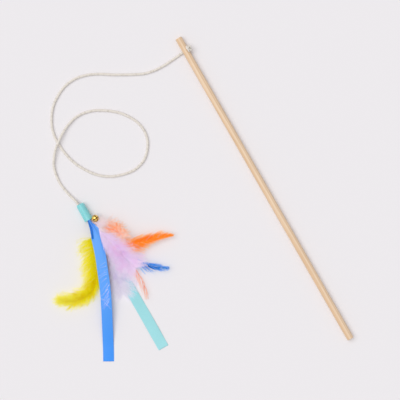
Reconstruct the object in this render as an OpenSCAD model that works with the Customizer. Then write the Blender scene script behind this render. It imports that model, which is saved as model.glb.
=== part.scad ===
// Cat teaser wand lying on a flat surface: a wooden dowel, a cord with one loop, and a lure of
// ribbons and feathers in a plastic sleeve with a jingle bell. Millimetres, +Z up.
// The dowel lies along Y, its tip at +Y. The origin is under the middle of the part without its cord.

/* [Dowel] */
// Length of the dowel
dowel_l = 406; // [300:1:600]
// Diameter of the dowel
dowel_d = 8; // [7:0.1:12]
// Radius of the eased edge at both ends
dowel_edge_r = 0.6; // [0.2:0.1:1.5]
// Distance from the tip to the cross hole
hole_inset = 17; // [10:1:40]
// Slope of the cross hole, from the surface's plane
hole_slope = 26; // [0:1:26]

/* [Cord] */
// Diameter of the cord
cord_d = 3; // [2:0.1:3.2]
// Radial clearance of the cord in the cross hole
cord_play = 0.15; // [0.05:0.05:0.5]
// Strand diameter in the tightened stopper knot
knot_strand_d = 1.6; // [1.2:0.1:1.6]
// Half of the stopper knot's height, from the middle of its strands
knot_rise = 1.3; // [1.2:0.05:1.6]
// Mean radius of the stopper knot
knot_ring_r = 2.6; // [2.6:0.05:3]
// Swing of the strand about the mean radius
knot_wave_r = 1.1; // [1.1:0.05:1.2]
// Diameter of the end knot inside the sleeve
end_knot_d = 5; // [4:0.1:5.2]

/* [Lure place] */
// Distance between the axes of the dowel and the sleeve
lure_offset = 197; // [150:1:260]
// Distance from the dowel's tip back to the sleeve's mouth
mouth_back = 133; // [100:1:200]

/* [Sleeve] */
// Length of the sleeve
sleeve_l = 21.5; // [18:0.5:30]
// Outer diameter at the mouth
sleeve_mouth_d = 10.3; // [10.3:0.1:12]
// Outer diameter at the shoulder
sleeve_top_d = 9.5; // [9.4:0.1:10]
// Wall of the sleeve
sleeve_wall = 0.85; // [0.6:0.05:0.9]
// Diameter of the opening that the cord goes in at
sleeve_opening_d = 7.4; // [7.2:0.1:7.6]
// Radius of the rounded shoulder
shoulder_r = 1.7; // [1:0.1:2.2]
// Sideways distance from the sleeve's axis to the cord
cord_entry_side = 2; // [1.8:0.1:2]
// Distance from the sleeve's axis down to the cord
cord_entry_drop = 0.75; // [0.6:0.05:0.8]
// Length of the thread binding
binding_l = 5; // [3:0.5:6]
// Thickness of the wound thread
binding_t = 0.5; // [0.3:0.1:0.6]

/* [Bell] */
// Outer diameter of the bell
bell_d = 8; // [7:0.1:8.2]
// Sheet thickness of the bell
bell_wall = 0.35; // [0.25:0.05:0.5]
// Height of the lip on each half shell
bell_lip = 0.2; // [0.1:0.05:0.3]
// Thickness of the lip on each half shell
bell_lip_t = 0.3; // [0.2:0.05:0.4]
// Diameter of the four sound holes
bell_hole_d = 1.9; // [1:0.1:2]
// Angle from the bell's pole to the sound holes
bell_hole_angle = 52; // [45:1:60]
// Width of the crossed slots between the sound holes
bell_slot_w = 0.8; // [0.3:0.1:1]
// Wire diameter of the bell's loop
loop_wire_d = 0.6; // [0.4:0.1:0.6]
// Mean radius of the bell's loop
loop_ring_r = 1.15; // [1.1:0.05:1.3]
// Diameter of the loose ball inside the bell
pellet_d = 2.2; // [1.6:0.1:2.6]
// Distance from the sleeve's axis to the bell, sideways
bell_side = 7.8; // [7.7:0.1:8.5]
// Distance from the sleeve's mouth to the bell, forwards
bell_ahead = 2; // [2:0.1:3]
// Lean of the bell from upright
bell_lean = 26; // [20:1:30]
// Compass turn of the bell's lean, from +X
bell_turn = -14; // [-16:1:-10]
// Diameter of the thread that ties the bell
tie_d = 0.4; // [0.3:0.05:0.4]
// Radius of the bends of the bell's tie
tie_bend_r = 0.65; // [0.65:0.05:0.7]
// Length of the bell's tie between its bends
tie_l = 3.4; // [3:0.1:3.6]

/* [Ribbons] */
// Width of both ribbons
ribbon_w = 12.7; // [10:0.1:16]
// Thickness of both ribbons
ribbon_t = 0.35; // [0.25:0.05:0.45]
// Length of the blue ribbon, from its root
blue_ribbon_l = 172; // [120:1:220]
// Length of the aqua ribbon, from its root
aqua_ribbon_l = 174; // [120:1:220]
// Width that a ribbon is gathered to in the mouth
ribbon_root_w = 2.4; // [2:0.1:2.8]

/* [Fluffy feathers] */
// Length of the yellow feather, measured sideways from its root to its tip
yellow_l = 87; // [70:1:110]
// Greatest width of the yellow feather
yellow_w = 25; // [15:1:32]
// Length of the pink feather
pink_l = 102; // [80:1:130]
// Greatest width of the pink feather
pink_w = 42; // [30:1:50]
// Length of the lilac feather
lilac_l = 107; // [80:1:130]
// Greatest width of the lilac feather
lilac_w = 27; // [18:1:34]
// Length of the pale orange feather
orange_fluff_l = 54; // [44:1:62]
// Greatest width of the pale orange feather
orange_fluff_w = 25; // [16:1:28]
// Thickness of the fluffy feathers' vanes
fluff_t = 1.5; // [0.8:0.1:1.6]
// Thickness of the fluffy feathers' quills
fluff_quill_d = 0.7; // [0.5:0.05:0.7]

/* [Hackle feathers] */
// Length of the orange hackle
orange_hackle_l = 106; // [80:1:130]
// Greatest width of the orange hackle
orange_hackle_w = 17; // [12:1:20]
// Length of the blue hackle
blue_hackle_l = 110; // [80:1:130]
// Greatest width of the blue hackle
blue_hackle_w = 11; // [8:1:14]
// Length of the salmon hackle
salmon_hackle_l = 117; // [90:1:140]
// Greatest width of the salmon hackle
salmon_hackle_w = 9; // [6:1:12]
// Thickness of the hackles
hackle_t = 0.6; // [0.4:0.05:0.6]

/* [Hidden] */
$fn = 48;

// Overrun of the cuts, and the gap between pieces that are glued or seated
cut_over = 1;
seat_gap = 0.05;
// Gap between two layers of the lure in the mouth, and between two layers at rest
level_gap = 0.2;
layer_gap = 0.25;
// Gap under the lowest ribbon
floor_gap = 0.12;

// Places of the dowel and of the lure
dowel_r = dowel_d / 2;
overall_w = dowel_r + lure_offset + yellow_l;
dowel_x = overall_w / 2 - dowel_r;
tip_y = dowel_l / 2;
hole_y = tip_y - hole_inset;
hole_r = cord_d / 2 + cord_play;
lure_x = dowel_x - lure_offset;
mouth_y = tip_y - mouth_back;
mouth_r = sleeve_mouth_d / 2;
lure_z = mouth_r;

// The roots turn about a vertical line just inside the mouth
root_inset = 0.5;
root_back = 1.5;
root_y = mouth_y + root_inset;

// Shank of the stopper knot, which lies in the cross hole
shank_out = 0.35;
// Height angle of the stopper knot round the dowel, and its flattening on the dowel's flank
knot_angle = 42;
knot_squash_share = 0.8;
knot_sides = 8;
knot_rings = 44;

// Points of the cord's centre line from the cross hole to the sleeve
cord_route = [
    [136, 186, 2.05], [133, 185.6, 1.6], [122, 184.6, 1.6], [108, 183.8, 1.6], [94, 184.8, 1.6],
    [80, 189, 1.6], [54, 203, 1.6], [41, 211.4, 1.6], [27, 218.4, 1.6], [12, 222, 1.6],
    [-3, 220.6, 1.6], [-17, 214.4, 1.6], [-29, 205, 1.6], [-38, 192, 1.6], [-42.8, 179, 1.6],
    [-43.8, 166, 1.6], [-42.4, 151, 1.6], [-38.6, 137, 1.6], [-32, 124, 1.6], [-22, 111, 1.6],
    [-9, 101.6, 1.6], [6, 96.4, 1.6], [20, 95, 1.6], [34, 99.4, 1.6], [44.6, 109.6, 1.6],
    [50.4, 122, 1.6], [50.6, 136, 1.6], [45.6, 149, 1.6], [36, 162, 1.6], [23, 172.4, 1.6],
    [8, 180.2, 1.6], [-8, 182.6, 1.9], [-22, 179.4, 3], [-33, 173.8, 4.3], [-43.6, 166.4, 5],
    [-53, 158, 4.3], [-62, 144, 2.2], [-65.2, 125, 1.6], [-62.4, 107, 2.4], [-59, 95.2, 4.4]
];
cord_start_slope = [-cos(hole_slope), 0, -sin(hole_slope)];
cord_end_slope = [0, -1, 0];
cord_sides = 8;

// Layers of the lure in the mouth, from the lowest up: half of each layer's thickness
root_half = [
    ribbon_t / 2, fluff_quill_d / 2, fluff_quill_d / 2, fluff_quill_d / 2, tie_d / 2,
    hackle_t / 2, hackle_t / 2, hackle_t / 2, fluff_quill_d / 2, ribbon_t / 2
];
root_stack_h = 2 * total(root_half) + (len(root_half) - 1) * level_gap;
root_base = lure_z - root_stack_h / 2;
// The same layers beyond the mouth; the tie isn't there, so its layer has no thickness
rest_half = [
    ribbon_t / 2, fluff_t / 2, fluff_t / 2, fluff_t / 2, 0,
    hackle_t / 2, hackle_t / 2, hackle_t / 2, fluff_t / 2, ribbon_t / 2
];
// Number of each layer
aqua_layer = 0;
yellow_layer = 1;
lilac_layer = 2;
orange_fluff_layer = 3;
tie_layer = 4;
salmon_layer = 5;
blue_hackle_layer = 6;
orange_hackle_layer = 7;
pink_layer = 8;
blue_layer = 9;
// Distance from the roots at which the layers lie at rest
rest_r = 45;
// Stretch in which the blue ribbon comes down to the surface beyond the feathers
ribbon_down_from = 112;
ribbon_down_to = 150;

tie_z = root_level(tie_layer);

// Place of the bell
bell_r = bell_d / 2;
loop_out = bell_r + loop_ring_r - loop_wire_d / 2 - bell_wall / 2;
bell_x = lure_x + bell_side;
bell_y = mouth_y - bell_ahead;
bell_z = tie_z + loop_out * cos(bell_lean);
// Turn of the crossed slots about the bell's pole
slot_turn = 18;
pellet_drop = bell_r - bell_wall - pellet_d / 2 - bell_wall;

// Outlines of the ribbons and feathers: places from the root as shares of the length, and widths
// as shares of the greatest width. Each row is [sideways, forwards, width, thickness].
blue_rows_shares = [
    [0, 0.006, 0, 1], [0, -0.014, 0.04, 1], [0.001, -0.038, 0.4, 1], [0.006, -0.062, 0.85, 1],
    [0.004, -0.095, 1, 1], [-0.016, -0.156, 1, 1], [-0.048, -0.25, 1, 1], [-0.086, -0.346, 1, 1],
    [-0.117, -0.424, 1, 1], [-0.151, -0.502, 1, 1], [-0.192, -0.584, 1, 1], [-0.234, -0.664, 1, 1],
    [-0.298, -0.785, 1, 1], [-0.364, -0.906, 1, 1]
];
aqua_rows_shares = [
    [0, 0.006, 0, 1], [0, -0.014, 0.04, 1], [0.004, -0.05, 0.7, 1], [0.008, -0.09, 1, 1],
    [0.009, -0.25, 1, 1], [0.009, -0.5, 1, 1], [0.01, -0.75, 1, 1], [0.008, -1, 1, 1]
];
yellow_rows_shares = [
    [0, 0.017, 0, 0], [-0.045, -0.095, 0.02, 0], [-0.12, -0.225, 0.2, 0.5], [-0.18, -0.36, 0.52, 1],
    [-0.235, -0.51, 0.84, 1], [-0.31, -0.66, 1, 1], [-0.42, -0.79, 1, 1], [-0.56, -0.845, 0.92, 1],
    [-0.71, -0.83, 0.8, 0.9], [-0.86, -0.765, 0.52, 0.7], [-0.95, -0.72, 0.28, 0.4],
    [-0.992, -0.69, 0.06, 0.1]
];
pink_rows_shares = [
    [0, 0.015, 0, 0], [0.03, -0.075, 0.01, 0], [0.055, -0.14, 0.05, 0.1], [0.055, -0.24, 0.3, 0.7],
    [0.06, -0.35, 0.62, 1], [0.09, -0.48, 0.88, 1], [0.125, -0.6, 1, 1], [0.14, -0.72, 0.95, 1],
    [0.12, -0.84, 0.7, 1], [0.08, -0.93, 0.4, 0.7], [0.04, -0.99, 0.1, 0.2]
];
lilac_rows_shares = [
    [0, 0.014, 0, 0], [0, -0.07, 0.01, 0], [-0.002, -0.16, 0.12, 0.3], [-0.008, -0.28, 0.4, 1],
    [-0.022, -0.42, 0.62, 1], [-0.045, -0.56, 0.8, 1], [-0.066, -0.7, 0.95, 1],
    [-0.088, -0.82, 1, 1], [-0.11, -0.91, 0.75, 0.8], [-0.13, -0.985, 0.2, 0.3]
];
orange_fluff_rows_shares = [
    [0, 0.028, 0, 0], [0.045, -0.13, 0.01, 0], [0.13, -0.26, 0.1, 0.2], [0.25, -0.36, 0.7, 0.8],
    [0.38, -0.46, 1, 1], [0.48, -0.58, 0.94, 1], [0.52, -0.7, 0.66, 0.8], [0.53, -0.81, 0.16, 0.3]
];
orange_hackle_rows_shares = [
    [0, 0.014, 0, 1], [0.03, -0.09, 0.01, 1], [0.075, -0.22, 0.14, 1], [0.135, -0.34, 0.5, 1],
    [0.225, -0.435, 0.86, 1], [0.33, -0.49, 1, 1], [0.45, -0.525, 0.9, 1], [0.57, -0.565, 0.62, 1],
    [0.69, -0.6, 0.32, 1], [0.76, -0.625, 0.06, 1]
];
blue_hackle_rows_shares = [
    [0, 0.014, 0, 1], [0.02, -0.09, 0.02, 1], [0.06, -0.24, 0.1, 1], [0.12, -0.4, 0.34, 1],
    [0.19, -0.56, 0.7, 1], [0.26, -0.68, 1, 1], [0.34, -0.76, 0.96, 1], [0.41, -0.82, 0.6, 1],
    [0.485, -0.87, 0.1, 1]
];
salmon_hackle_rows_shares = [
    [0, 0.013, 0, 1], [0.012, -0.085, 0.03, 1], [0.04, -0.24, 0.1, 1], [0.08, -0.42, 0.36, 1],
    [0.115, -0.58, 0.7, 1], [0.138, -0.71, 1, 1], [0.145, -0.82, 0.9, 1], [0.143, -0.92, 0.5, 1],
    [0.137, -0.985, 0.1, 1]
];
leaf_steps = 2;
// Cross-sections as shares of half the width and half the thickness
ribbon_section_shares = [[-1, -1], [1, -1], [1, 1], [-1, 1]];
feather_section_shares = [
    [-1, 0], [-0.7, -0.8], [0, -1], [0.7, -0.8], [1, 0], [0.7, 0.8], [0, 1], [-0.7, 0.8]
];

// Sum of a list
function total(v, i = 0) = i < len(v) ? v[i] + total(v, i + 1) : 0;
// Height of the middle of layer n, above the base of its stack
function level(half, n, gap) = 2 * total(half) - 2 * total([for (i = [n:len(half) - 1]) half[i]])
    + half[n] + n * gap;
function root_level(n) = root_base + level(root_half, n, level_gap);
function rest_level(n) = floor_gap + level(rest_half, n, layer_gap);
// Eased step from 0 to 1
function ease(t) = let (c = min(1, max(0, t))) c * c * (3 - 2 * c);
// Height of layer n at distance r from the roots
function layer_height(n, r) = root_level(n) + (rest_level(n) - root_level(n)) * ease(r / rest_r);
// The blue ribbon also comes down to the surface beyond the feathers
function ribbon_height(n, r) = layer_height(n, r)
    + (rest_level(0) - layer_height(n, r))
    * (n == blue_layer ? ease((r - ribbon_down_from) / (ribbon_down_to - ribbon_down_from)) : 0);

// Smooth curve through a list of rows, with n steps between two rows
function curve_row(p, i, t) = let (
    a = p[max(i - 1, 0)], b = p[i], c = p[i + 1], d = p[min(i + 2, len(p) - 1)]
) (2 * b + (c - a) * t + (2 * a - 5 * b + 4 * c - d) * t * t
    + (3 * b - a - 3 * c + d) * t * t * t) / 2;
function curve_rows(p, n) = concat(
    [for (i = [0:len(p) - 2]) for (k = [0:n - 1]) curve_row(p, i, k / n)],
    [p[len(p) - 1]]
);
function unit(v) = v / norm(v);

// Closed skin over a list of rings that all have as many points
module skin(rings) {
    sides = len(rings[0]);
    last = len(rings) - 1;
    points = [for (ring = rings) for (p = ring) p];
    walls = [
        for (i = [0:last - 1]) for (k = [0:sides - 1])
            let (a = i * sides + k, b = i * sides + (k + 1) % sides)
            each [[a, a + sides, b], [b, a + sides, b + sides]]
    ];
    start = [for (k = [1:sides - 2]) [0, k, k + 1]];
    end = [for (k = [1:sides - 2]) [last * sides, last * sides + k + 1, last * sides + k]];
    polyhedron(points, concat(walls, start, end), convexity = 8);
}

// Ring of a round tube at point c, square to the direction t
function round_ring(c, t, r, sides) = let (
    along = unit(t), side = unit(cross([0, 0, 1], along)), up = cross(along, side)
) [for (k = [0:sides - 1]) c + r * (cos(360 * k / sides) * side + sin(360 * k / sides) * up)];

// Round tube along points, whose first and last rings stand square to the given directions
module round_tube(points, r, sides, first, end) {
    last = len(points) - 1;
    skin([
        for (i = [0:last]) round_ring(
            points[i],
            i == 0 ? first : i == last ? end : points[i + 1] - points[i - 1],
            r, sides
        )
    ]);
}

// Thin leaf that lies in one layer: rows are [sideways, forwards, width, thickness]
module leaf(rows, layer, section) {
    line = curve_rows(rows, leaf_steps);
    last = len(line) - 1;
    skin([
        for (i = [0:last]) let (
            a = line[max(i - 1, 0)], b = line[min(i + 1, last)], p = line[i],
            along = unit([b[0] - a[0], b[1] - a[1]])
        ) [
            for (s = section) let (
                x = p[0] - along[1] * s[0] * p[2] / 2,
                y = p[1] + along[0] * s[0] * p[2] / 2
            ) [lure_x + x, root_y + y, ribbon_height(layer, norm([x, y])) + s[1] * p[3] / 2]
        ]
    ]);
}

// Rows in millimetres: the width and the thickness grow from the root's to the greatest
function leaf_rows(shares, l, root_w, w, root_t, t) = [
    for (s = shares) [s[0] * l, s[1] * l, root_w + (w - root_w) * s[2], root_t + (t - root_t) * s[3]]
];
module ribbon(shares, l, layer) {
    leaf(leaf_rows(shares, l, ribbon_root_w, ribbon_w, ribbon_t, ribbon_t), layer, ribbon_section_shares);
}
module marabou(shares, l, w, layer) {
    leaf(leaf_rows(shares, l, fluff_quill_d, w, fluff_quill_d, fluff_t), layer, feather_section_shares);
}
module hackle(shares, l, w, layer) {
    leaf(leaf_rows(shares, l, hackle_t, w, hackle_t, hackle_t), layer, feather_section_shares);
}

// Solid of revolution about the dowel's direction, from a profile of [radius, distance]
module turned(profile) {
    rotate([-90, 0, 0]) rotate_extrude() polygon(profile);
}
// Arc of a profile about [r, y], from angle a to angle b
function arc(r, y, bend, a, b) = [
    for (k = [0:6]) let (t = a + (b - a) * k / 6) [r + bend * cos(t), y + bend * sin(t)]
];

module dowel() {
    color([0.902, 0.776, 0.655]) difference() {
        translate([dowel_x, -tip_y, dowel_r]) turned(concat(
            [[0, 0]],
            arc(dowel_r - dowel_edge_r, dowel_edge_r, dowel_edge_r, -90, 0),
            arc(dowel_r - dowel_edge_r, dowel_l - dowel_edge_r, dowel_edge_r, 0, 90),
            [[0, dowel_l]]
        ));
        in_cross_hole() cylinder(h = dowel_d + 2 * cut_over, r = hole_r, center = true);
    }
}

// Frame whose Z runs along the cross hole, from its low end to its high end
module in_cross_hole() {
    translate([dowel_x, hole_y, dowel_r]) rotate([0, 90 - hole_slope, 0]) children();
}

// Overhand knot: the strand goes twice round and threads through itself
function knot_point(t) = [
    knot_squash_share * (knot_ring_r + knot_wave_r * cos(3 * t)) * sin(2 * t),
    (knot_ring_r + knot_wave_r * cos(3 * t)) * cos(2 * t),
    knot_rise * sin(3 * t)
];
knot_start = 8;
knot_end = 352;
knot_out = dowel_r + knot_rise + knot_strand_d / 2 + seat_gap;
module knot() {
    rotate([0, 90 - knot_angle, 0]) translate([0, 0, knot_out]) skin([
        for (i = [0:knot_rings]) let (
            t = knot_start + (knot_end - knot_start) * i / knot_rings,
            along = unit(knot_point(t + 1) - knot_point(t - 1)),
            side = unit(cross(along, unit(knot_point(t)))), up = cross(along, side)
        ) [
            for (k = [0:knot_sides - 1]) knot_point(t) + knot_strand_d / 2
                * (cos(360 * k / knot_sides) * side + sin(360 * k / knot_sides) * up)
        ]
    ]);
}
module stopper_knot() {
    color([0.86, 0.82, 0.77]) {
        in_cross_hole() translate([0, 0, -dowel_r - shank_out])
            cylinder(h = dowel_d + shank_out + knot_rise, r = cord_d / 2);
        translate([dowel_x, hole_y, dowel_r]) knot();
    }
}

module cord() {
    color([0.83, 0.8, 0.78])
        round_tube(curve_rows(cord_route, 2), cord_d / 2, cord_sides, cord_start_slope, cord_end_slope);
}

// The sleeve's own frame: its mouth at the origin, its axis along +Y
module at_sleeve() {
    translate([lure_x, mouth_y, lure_z]) children();
}
sleeve_top_r = sleeve_top_d / 2;
sleeve_bore_r = mouth_r - sleeve_wall;
sleeve_neck_r = sleeve_top_r - sleeve_wall;
opening_r = sleeve_opening_d / 2;
lip_r = sleeve_wall / 3;
// Angle through which the shoulder is rounded
shoulder_angle = 60;
module sleeve() {
    color([0.6, 0.86, 0.88]) at_sleeve() turned(concat(
        [[sleeve_bore_r, lip_r]],
        arc(mouth_r - lip_r, lip_r, lip_r, -90, 0),
        arc(sleeve_top_r - shoulder_r, sleeve_l - shoulder_r, shoulder_r, 0, shoulder_angle),
        [
            [opening_r, sleeve_l],
            [opening_r, sleeve_l - sleeve_wall],
            [sleeve_neck_r, sleeve_l - shoulder_r - sleeve_wall]
        ]
    ));
}

// Inside the sleeve, from the mouth up: roots, thread binding, glue with the cord's end in it.
// The cord's end stands out of the sleeve by cord_end_out, with a round end about which it bends.
cord_end_out = 1.9;
binding_y = root_inset + root_back + layer_gap + seat_gap;
glue_r = sleeve_neck_r - seat_gap;
core_r = glue_r - binding_t - seat_gap;
glue_top = sleeve_l - shoulder_r - sleeve_wall;
end_knot_y = binding_y + binding_l + end_knot_d / 2 + seat_gap;
end_knot_side = glue_r - end_knot_d / 2 - seat_gap;
module cord_end_shape(grow) {
    translate([-cord_entry_side, 0, -cord_entry_drop]) rotate([-90, 0, 0]) translate([0, 0, end_knot_y])
        cylinder(h = sleeve_l - end_knot_y + cord_end_out, r = cord_d / 2 + grow);
    translate([-cord_entry_side, sleeve_l + cord_end_out, -cord_entry_drop]) sphere(r = cord_d / 2 + grow);
    translate([-end_knot_side, end_knot_y, 0]) sphere(r = end_knot_d / 2 + grow);
}
module cord_end() {
    color([0.83, 0.8, 0.78]) at_sleeve() cord_end_shape(0);
}
module glue_plug() {
    color([0.93, 0.93, 0.88]) at_sleeve() difference() {
        turned([
            [0, binding_y], [core_r, binding_y], [core_r, binding_y + binding_l],
            [glue_r, binding_y + binding_l], [glue_r, glue_top], [0, glue_top]
        ]);
        cord_end_shape(seat_gap);
    }
}
module thread_binding() {
    color([0.9, 0.88, 0.84]) at_sleeve() turned(concat(
        [[core_r + seat_gap, binding_y]],
        arc(glue_r - binding_t / 2, binding_y + binding_t / 2, binding_t / 2, -90, 0),
        arc(glue_r - binding_t / 2, binding_y + binding_l - binding_t / 2 - seat_gap, binding_t / 2, 0, 90),
        [[core_r + seat_gap, binding_y + binding_l - seat_gap]]
    ));
}

// The bell's own frame: its middle at the origin, the pole of its slotted half along +Z
module at_bell() {
    translate([bell_x, bell_y, bell_z]) rotate([0, bell_lean, bell_turn]) children();
}
module bell_half() {
    difference() {
        union() {
            sphere(r = bell_r);
            cylinder(h = 2 * bell_lip_t, r = bell_r + bell_lip, center = true);
        }
        sphere(r = bell_r - bell_wall);
        translate([0, 0, -bell_d]) cube(2 * bell_d, center = true);
    }
}
module bell_bowl() {
    color([0.86, 0.67, 0.22]) at_bell() difference() {
        translate([0, 0, seat_gap / 2]) bell_half();
        for (k = [0:3]) rotate([0, bell_hole_angle, slot_turn + 90 * k])
            cylinder(h = bell_r + cut_over, r = bell_hole_d / 2);
        rotate([0, 0, slot_turn]) for (k = [0:1]) rotate([0, 0, 90 * k]) slot_cut();
    }
}
// Slot from one sound hole over the pole to the opposite one
module slot_cut() {
    reach = bell_r * sin(bell_hole_angle);
    translate([-reach, -bell_slot_w / 2, bell_r * cos(bell_hole_angle)])
        cube([2 * reach, bell_slot_w, bell_r]);
}
module bell_cap() {
    color([0.86, 0.67, 0.22]) at_bell() mirror([0, 0, 1]) translate([0, 0, seat_gap / 2]) bell_half();
}
module bell_loop() {
    color([0.86, 0.67, 0.22]) at_bell() difference() {
        translate([0, 0, -loop_out]) rotate([90, 0, 0]) rotate_extrude() translate([loop_ring_r, 0])
            circle(r = loop_wire_d / 2, $fn = 24);
        sphere(r = bell_r + seat_gap);
    }
}
module bell_pellet() {
    color([0.7, 0.7, 0.72]) translate([bell_x, bell_y, bell_z - pellet_drop]) sphere(r = pellet_d / 2);
}
// Thread loop from the roots to the wire of the bell's loop
module bell_tie() {
    hook_x = bell_x - loop_out * sin(bell_lean) * cos(bell_turn) - loop_ring_r * cos(bell_turn);
    hook_y = bell_y - loop_out * sin(bell_lean) * sin(bell_turn) - loop_ring_r * sin(bell_turn);
    color([0.93, 0.9, 0.84]) translate([hook_x, hook_y, tie_z]) rotate([0, 0, bell_turn]) {
        tie_bend(0, -90);
        tie_bend(-tie_l, 90);
        for (side = [-1, 1]) translate([0, side * tie_bend_r, 0]) rotate([0, -90, 0])
            cylinder(h = tie_l, r = tie_d / 2);
    }
}
module tie_bend(x, turn) {
    translate([x, 0, 0]) rotate([0, 0, turn]) rotate_extrude(angle = 180) translate([tie_bend_r, 0])
        circle(r = tie_d / 2, $fn = 24);
}

module blue_ribbon() {
    color([0.3, 0.6, 0.98]) ribbon(blue_rows_shares, blue_ribbon_l, blue_layer);
}
module aqua_ribbon() {
    color([0.63, 0.87, 0.89]) ribbon(aqua_rows_shares, aqua_ribbon_l, aqua_layer);
}
module yellow_marabou() {
    color([0.88, 0.82, 0.12]) marabou(yellow_rows_shares, yellow_l, yellow_w, yellow_layer);
}
module pink_marabou() {
    color([0.89, 0.75, 0.91]) marabou(pink_rows_shares, pink_l, pink_w, pink_layer);
}
module lilac_marabou() {
    color([0.84, 0.81, 0.89]) marabou(lilac_rows_shares, lilac_l, lilac_w, lilac_layer);
}
module orange_marabou() {
    color([0.98, 0.72, 0.58])
        marabou(orange_fluff_rows_shares, orange_fluff_l, orange_fluff_w, orange_fluff_layer);
}
module orange_hackle() {
    color([1, 0.53, 0.2])
        hackle(orange_hackle_rows_shares, orange_hackle_l, orange_hackle_w, orange_hackle_layer);
}
module blue_hackle() {
    color([0.1, 0.4, 0.84])
        hackle(blue_hackle_rows_shares, blue_hackle_l, blue_hackle_w, blue_hackle_layer);
}
module salmon_hackle() {
    color([1, 0.76, 0.66])
        hackle(salmon_hackle_rows_shares, salmon_hackle_l, salmon_hackle_w, salmon_layer);
}

dowel();
stopper_knot();
cord();
cord_end();
sleeve();
glue_plug();
thread_binding();
bell_tie();
bell_loop();
bell_cap();
bell_bowl();
bell_pellet();
blue_ribbon();
aqua_ribbon();
yellow_marabou();
pink_marabou();
lilac_marabou();
orange_marabou();
orange_hackle();
blue_hackle();
salmon_hackle();
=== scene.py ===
"""Dresses the cat teaser wand: dowel, knotted cord, plastic sleeve, jingle bell, ribbons and feathers."""
import math

import bmesh
import bpy
import numpy as np
from mathutils import Matrix, Vector


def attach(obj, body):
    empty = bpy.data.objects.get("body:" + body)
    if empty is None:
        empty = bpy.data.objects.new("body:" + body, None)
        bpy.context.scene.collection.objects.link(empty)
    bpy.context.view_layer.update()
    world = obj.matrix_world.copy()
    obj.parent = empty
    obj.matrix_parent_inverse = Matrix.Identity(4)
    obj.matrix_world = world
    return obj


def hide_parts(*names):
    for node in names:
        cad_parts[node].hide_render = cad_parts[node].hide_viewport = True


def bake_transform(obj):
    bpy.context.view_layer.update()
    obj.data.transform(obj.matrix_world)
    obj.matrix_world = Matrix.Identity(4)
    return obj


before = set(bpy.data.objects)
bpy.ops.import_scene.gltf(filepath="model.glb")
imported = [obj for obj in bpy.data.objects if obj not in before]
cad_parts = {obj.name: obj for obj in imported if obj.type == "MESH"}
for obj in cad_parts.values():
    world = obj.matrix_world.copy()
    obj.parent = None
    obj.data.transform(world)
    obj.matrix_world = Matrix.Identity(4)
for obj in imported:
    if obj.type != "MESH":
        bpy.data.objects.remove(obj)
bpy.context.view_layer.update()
chance = np.random.default_rng(11)

# Dowel: a turned stick of light, unvarnished wood, sanded smooth, with its edges just eased.
# The solid is right as it is and only gets its wood: straight grain that runs the dowel's length,
# cut from rings whose heart lies beside and below the dowel.
MM = 0.001
dowel_x = 140 * MM
heart_beside = 9 * MM
heart_below = 7 * MM


def paint(red, green, blue):
    """The colour that looks like this on a screen, 0 to 255."""
    def channel(v):
        v /= 255
        return v / 12.92 if v < 0.0405 else ((v + 0.055) / 1.055) ** 2.4
    return channel(red), channel(green), channel(blue), 1.0


def grey(level):
    """A plain share from 0 to 1, written as a colour."""
    return level, level, level, 1


def finish(name, colour, roughness, sockets=None):
    """A new material with its nodes, its links and its main shader, whose other sockets can be set too."""
    made = bpy.data.materials.new(name)
    made.use_nodes = True
    nodes, links = made.node_tree.nodes, made.node_tree.links
    shader = nodes["Principled BSDF"]
    for socket, value in {"Base Color": colour, "Roughness": roughness, **(sockets or {})}.items():
        shader.inputs[socket].default_value = value
    return made, nodes, links, shader


def feed(links, socket, value):
    """Gives a socket a plain value or another node's output."""
    if isinstance(value, bpy.types.NodeSocket):
        links.new(value, socket)
    else:
        socket.default_value = value


def on_piece(nodes):
    """Places on the piece itself."""
    return nodes.new("ShaderNodeTexCoord").outputs["Object"]


def stretched(nodes, links, where, scale, shift=(0, 0, 0)):
    """The same places, stretched and shifted."""
    made = nodes.new("ShaderNodeMapping")
    made.inputs["Location"].default_value = shift
    made.inputs["Scale"].default_value = scale
    links.new(where, made.inputs["Vector"])
    return made.outputs["Vector"]


def noise(nodes, links, where, scale, detail=2):
    """A soft random pattern."""
    made = nodes.new("ShaderNodeTexNoise")
    made.inputs["Scale"].default_value = scale
    made.inputs["Detail"].default_value = detail
    links.new(where, made.inputs["Vector"])
    return made.outputs["Fac"]


def blend_colours(nodes, links, how, share, first, second):
    """Mixes two colours, each a colour or a node's output, and gives the output."""
    mix = nodes.new("ShaderNodeMix")
    mix.data_type = "RGBA"
    mix.blend_type = how
    for index, value in ((0, share), (6, first), (7, second)):
        feed(links, mix.inputs[index], value)
    return mix.outputs[2]


def ramp(nodes, links, source, stops):
    """Turns a value into colours: stops are pairs of place and colour."""
    band = nodes.new("ShaderNodeValToRGB")
    links.new(source, band.inputs["Fac"])
    points = band.color_ramp.elements
    while len(points) < len(stops):
        points.new(0.5)
    for point, (place, colour) in zip(points, stops):
        point.position = place
        point.color = colour
    return band.outputs["Color"]


def bump(nodes, links, shader, height, strength, depth):
    """Raises the surface by a height texture."""
    relief = nodes.new("ShaderNodeBump")
    relief.inputs["Strength"].default_value = strength
    relief.inputs["Distance"].default_value = depth
    links.new(height, relief.inputs["Height"])
    links.new(relief.outputs["Normal"], shader.inputs["Normal"])


def wear(node, material):
    """Gives a CAD node its material."""
    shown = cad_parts[node]
    shown.data.materials.clear()
    shown.data.materials.append(material)


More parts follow.
